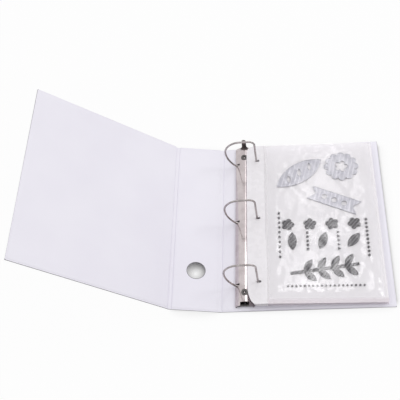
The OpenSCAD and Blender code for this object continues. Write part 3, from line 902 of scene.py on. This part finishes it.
# a front film lies on its weld line and rises inside it: slack on top, almost flat below
def frontHeight(x, y, spec, area, number):
    distance = weldDistance(x, y, area)
    rise = smoothstep((distance - spec["border"]) / spec["climb"])
    if number == 1:
        inner = spec["fullFilm"] + creaseHeight(x, y, spec, area) - spec["weldFilm"]
    else:
        depth, size = spec["underWave"]
        inner = depth * noise.noise(Vector((x, y, number)) / size)
    return spec["weldFilm"] + weldRidge(distance, spec) + rise * inner


def filmGrid(area, spec, grid, heightAt):
    low, high = area
    bm = bmesh.new()
    layGrid(bm, low, high, *grid, 0)
    for cut in spec["weldCuts"]:
        planes = (((low.x + cut * mm, 0, 0), (1, 0, 0)), ((high.x - cut * mm, 0, 0), (1, 0, 0)),
                  ((0, low.y + cut * mm, 0), (0, 1, 0)))
        for at, normal in planes:
            bmesh.ops.bisect_plane(bm, geom=bm.verts[:] + bm.edges[:] + bm.faces[:],
                                   dist=spec["cutNear"], plane_co=at, plane_no=normal)
    weld = bm.verts.layers.float.new("weld")
    hem = bm.verts.layers.float.new("hem")
    for vert in bm.verts:
        x, y = vert.co.xy
        # the hem band: milkier in the finish, and painted pinkish grey there as shade
        vert[hem] = 1 - smoothstep((y - low.y - spec["hem"]) / spec["fade"])
        vert[weld] = 1 - smoothstep((weldDistance(x, y, area) - spec["border"]) / spec["fade"])
        vert.co.z = low.z + heightAt(x, y)
    return bm


# the strip, punched for the rings, with a tail in the weld of the sleeve
def stripSheet(number, low, high, hinge, onPocket, spec):
    left = low.x - spec["stripFan"][number - 1] * mm
    foldStart = hinge.x + spec["foldSteps"][0] * mm
    reach = spec["stripCorner"] + spec["cornerNear"]
    bm = bmesh.new()
    layGrid(bm, (left, low.y), (foldStart, high.y), 1, 1, hinge.z)
    corners = [vert for vert in bm.verts if vert.co.x < left + spec["cornerNear"]]
    bmesh.ops.bevel(bm, geom=corners, offset=spec["stripCorner"], segments=spec["cornerSteps"],
                    profile=0.5, affect="VERTICES", material=-1)
    for vert in bm.verts:
        if vert.co.x < left + reach and vert.co.y < low.y + reach:
            vert.co.y = low.y + (vert.co.y - low.y) * spec["lowCorner"]
    bm.faces.ensure_lookup_table()
    width, toLeft, toRight = spec["topHole"] if number <= spec["topHoles"] else spec["snugHole"]
    holeX = low.x + spec["holeIn"]
    loops = [roundLoop(bm, (holeX, (ringLow.y + ringHigh.y) / 2, hinge.z), width / 2,
                       spec["holeSides"], toLeft, toRight) for ringLow, ringHigh in ringSpots]
    punch(bm, bm.faces[0], loops)
    edges = [edge for edge in bm.edges if min(v.co.x for v in edge.verts) > foldStart - tiny]
    for step in spec["foldSteps"][1:]:
        verts, edges = extendEdges(bm, edges)
        for vert in verts:
            vert.co.x = hinge.x + step * mm
    bmesh.ops.recalc_face_normals(bm, faces=bm.faces)
    for vert in bm.verts:
        if vert.co.x > hinge.x:
            vert.co = onPocket @ vert.co
    return bm


ringSpots = [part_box(place + "_right_ring") for place in ringPlaces]
for number, word in enumerate(pockets["names"], 1):
    prefix = "pocket_%d_" % number
    title = "pocket" + word.title()
    binding, sleeve = prefix + "binding", prefix + "sleeve"
    stripLow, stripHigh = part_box(prefix + "strip")
    backLow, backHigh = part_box(prefix + "back_film")
    hinge = Vector(joints[prefix + "lift"]["pos_m"])
    filmX = 2 * hinge.x - stripHigh.x
    slope = math.atan2(backHigh.z - backLow.z - pockets["solidFilm"], backHigh.x - backLow.x)
    onPocket = turned(hinge, slope)
    width = (backHigh.x - backLow.x) / math.cos(slope)
    area = (Vector((filmX, backLow.y, hinge.z)), Vector((filmX + width, backHigh.y, hinge.z)))

    strip = stripSheet(number, stripLow, stripHigh, hinge, onPocket, pockets)
    piece = newPiece(title + "Strip", strip, "strip_film", None, [prefix + "strip"])
    thicken(piece, pockets["stripThick"], 0)
    fold = Vector((-pockets["foldSteps"][0] * mm, 0, 0))
    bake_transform(piece, binding, sleeve, hinge - fold, hinge + fold)

    # the films, welded on three sides
    front = filmGrid(area, pockets, pockets["topGrid" if number == 1 else "underGrid"],
                     lambda x, y: frontHeight(x, y, pockets, area, number))
    bmesh.ops.transform(front, matrix=onPocket, verts=front.verts)
    finish = "clear_film" if number == 1 else "under_film"
    piece = newPiece(title + "FrontFilm", front, finish, sleeve,
                     [prefix + "front_film", prefix + "seam"])
    thicken(piece, pockets["filmThick"])
    back = filmGrid(area, pockets, pockets["backGrid"], lambda x, y: pockets["backFilm"])
    bmesh.ops.transform(back, matrix=onPocket, verts=back.verts)
    finish = "backing_film" if number == 1 else "under_film"
    piece = newPiece(title + "BackFilm", back, finish, sleeve, [prefix + "back_film"])
    thicken(piece, pockets["filmThick"])
    if number == 1:
        topPlace, topX, topZ = onPocket, filmX, hinge.z
print("pockets made")

# rows of small border stamps round the larger ones
borders = {
    "sheetIn": 11 * mm,
    "sheetSize": (150 * mm, 262 * mm),
    "level": 0.4 * mm,
    "thick": 1.15 * mm,
    # start and step in shares of the sheet, count, sides, radius in mm, turn
    "rows": (
        ((0.075, 0.25), (0, 0.032), 10, 12, 1.9, 0),
        ((0.935, 0.25), (0, 0.026), 10, 4, 2.3, 0),
        ((0.35, 0.295), (0, 0.027), 5, 4, 2.5, 0.8),
        ((0.65, 0.295), (0, 0.027), 5, 3, 2.6, 0.52),
        ((0.14, 0.065), (0.04, 0), 19, 12, 1.5, 0),
    ),
}
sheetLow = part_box("carrier_sheet")[0]
bm = bmesh.new()
for first, step, count, sides, radius, turn in borders["rows"]:
    for index in range(count):
        across, up = (first[i] + index * step[i] for i in (0, 1))
        at = Vector((topX + borders["sheetIn"] + across * borders["sheetSize"][0],
                     sheetLow.y + up * borders["sheetSize"][1], topZ + borders["level"]))
        bmesh.ops.create_circle(bm, cap_ends=True, segments=sides, radius=radius * mm,
                                matrix=Matrix.Translation(at) @ Matrix.Rotation(turn, 4, "Z"))
raised = vertsOf(bmesh.ops.extrude_face_region(bm, geom=bm.faces[:])["geom"])
bmesh.ops.translate(bm, vec=(0, 0, borders["thick"]), verts=raised)
bmesh.ops.recalc_face_normals(bm, faces=bm.faces)
bmesh.ops.transform(bm, matrix=topPlace, verts=bm.verts)
newPiece("borderStamps", bm, "stamp_rubber", "pocket_1_sleeve", [])
print("border stamps made")

# finishes on the solids that stay
solidFinishes = {
    "back_board": "board",
    "spine_board": "board",
    "front_board": "board",
    "carrier_sheet": "under_film",
}
for node, finish in solidFinishes.items():
    cadNodes[node].data.materials.clear()
    cadNodes[node].data.materials.append(finishes[finish])

# studio: a white surround that is darker low down in front, where metal and film mirror it
studio = {
    "fill": 0.832,    # light on the object
    "dark": 0.3,      # low in front, in reflections
    "dim": 0.95,      # low in front, as light
    "lowEdge": (0, 0.65),
    "nearEdge": (-0.6, 0.6),
    "lamps": (    # place, size, power
        ("sideLamp", (0.85, 0.25, 0.95), 0.3, 2.2),
        ("glintLamp", (0.09, 0.4, 1.05), 0.3, 0.8),
        ("upperLamp", (0.16, 0.78, 1.05), 0.2, 0.26),
    ),
}
floorPaper = {
    "half": 4.0,
    "tone": (0.5, 0.49, 0.495, 1),    # in the shade
    "rough": 0.9,
    "glow": 0.97,
    "shadowReach": 16 * mm,
    "shadowSamples": 8,
    "outerShade": 0.16,    # what is left of the shade beyond the covers' ends
    "outerFrom": 12 * mm,
    "outerTo": 2 * mm,
}


def seenWhite(start):
    return (start.ray("Camera") + start.ray("Glossy") + start.ray("Transmission")).step(0, 1)


def makeWorld(spec):
    world = bpy.data.worlds.new("studio")
    scene.world = world
    world.use_nodes = True
    tree = world.node_tree
    start = Socket(tree)
    view = start.node("ShaderNodeTexCoord", output="Generated")
    low = 1 - view.axis("Z").step(*spec["lowEdge"])
    near = 1 - view.axis("Y").step(*spec["nearEdge"])
    loss = 1 - spec["dim"] + (spec["dim"] - spec["dark"]) * start.ray("Glossy")
    sky = 1 - loss * low * near
    direct = start.ray("Camera")
    strength = direct + (1 - direct) * sky * (spec["fill"] + (1 - spec["fill"]) * seenWhite(start))
    tree.nodes["Background"].inputs["Color"].default_value = (1, 1, 1, 1)
    tree.links.new(strength.out, tree.nodes["Background"].inputs["Strength"])


# white where it is seen, apart from the shade close to the object
def makeFloor(spec):
    bm = bmesh.new()
    layGrid(bm, (-spec["half"], -spec["half"]), (spec["half"], spec["half"]), 1, 1, 0)
    mesh = bpy.data.meshes.new("floor")
    bm.to_mesh(mesh)
    bm.free()
    floor = bpy.data.objects.new("floor", mesh)
    scene.collection.objects.link(floor)
    paper = bpy.data.materials.new("palePaper")
    paper.use_nodes = True
    tree = paper.node_tree
    shader = tree.nodes["Principled BSDF"]
    shader.inputs["Base Color"].default_value = spec["tone"]
    shader.inputs["Roughness"].default_value = spec["rough"]
    start = Socket(tree)
    plain = Socket(tree, shader.outputs[0])
    glow = start.node("ShaderNodeEmission", {}, {"Color": (1, 1, 1, 1), "Strength": 1.0})
    clear = start.node("ShaderNodeAmbientOcclusion", {"samples": spec["shadowSamples"]},
                       {"Distance": spec["shadowReach"]}, "AO")
    along = start.node("ShaderNodeTexCoord", output="Object").axis("Y")
    ends = ((coverHigh.y - spec[key]) ** 2 for key in ("outerFrom", "outerTo"))
    outside = (along * along).step(*ends)
    shade = (1 - clear * clear * clear) * (1 - (1 - spec["outerShade"]) * outside)
    white = seenWhite(start) * spec["glow"] * (1 - shade)
    mixed = start.node("ShaderNodeMixShader", {}, {0: white, 1: plain, 2: glow})
    tree.links.new(mixed.out, tree.nodes["Material Output"].inputs["Surface"])
    mesh.materials.append(paper)


def makeLamps(spec):
    for name, place, size, power in spec["lamps"]:
        lamp = bpy.data.lights.new(name, "AREA")
        lamp.energy = power
        lamp.size = size
        holder = bpy.data.objects.new(name, lamp)
        aim = (-Vector(place)).to_track_quat("-Z", "Y").to_matrix().to_4x4()
        holder.matrix_world = Matrix.Translation(place) @ aim
        scene.collection.objects.link(holder)


makeWorld(studio)
makeFloor(floorPaper)
makeLamps(studio)
print("studio made")
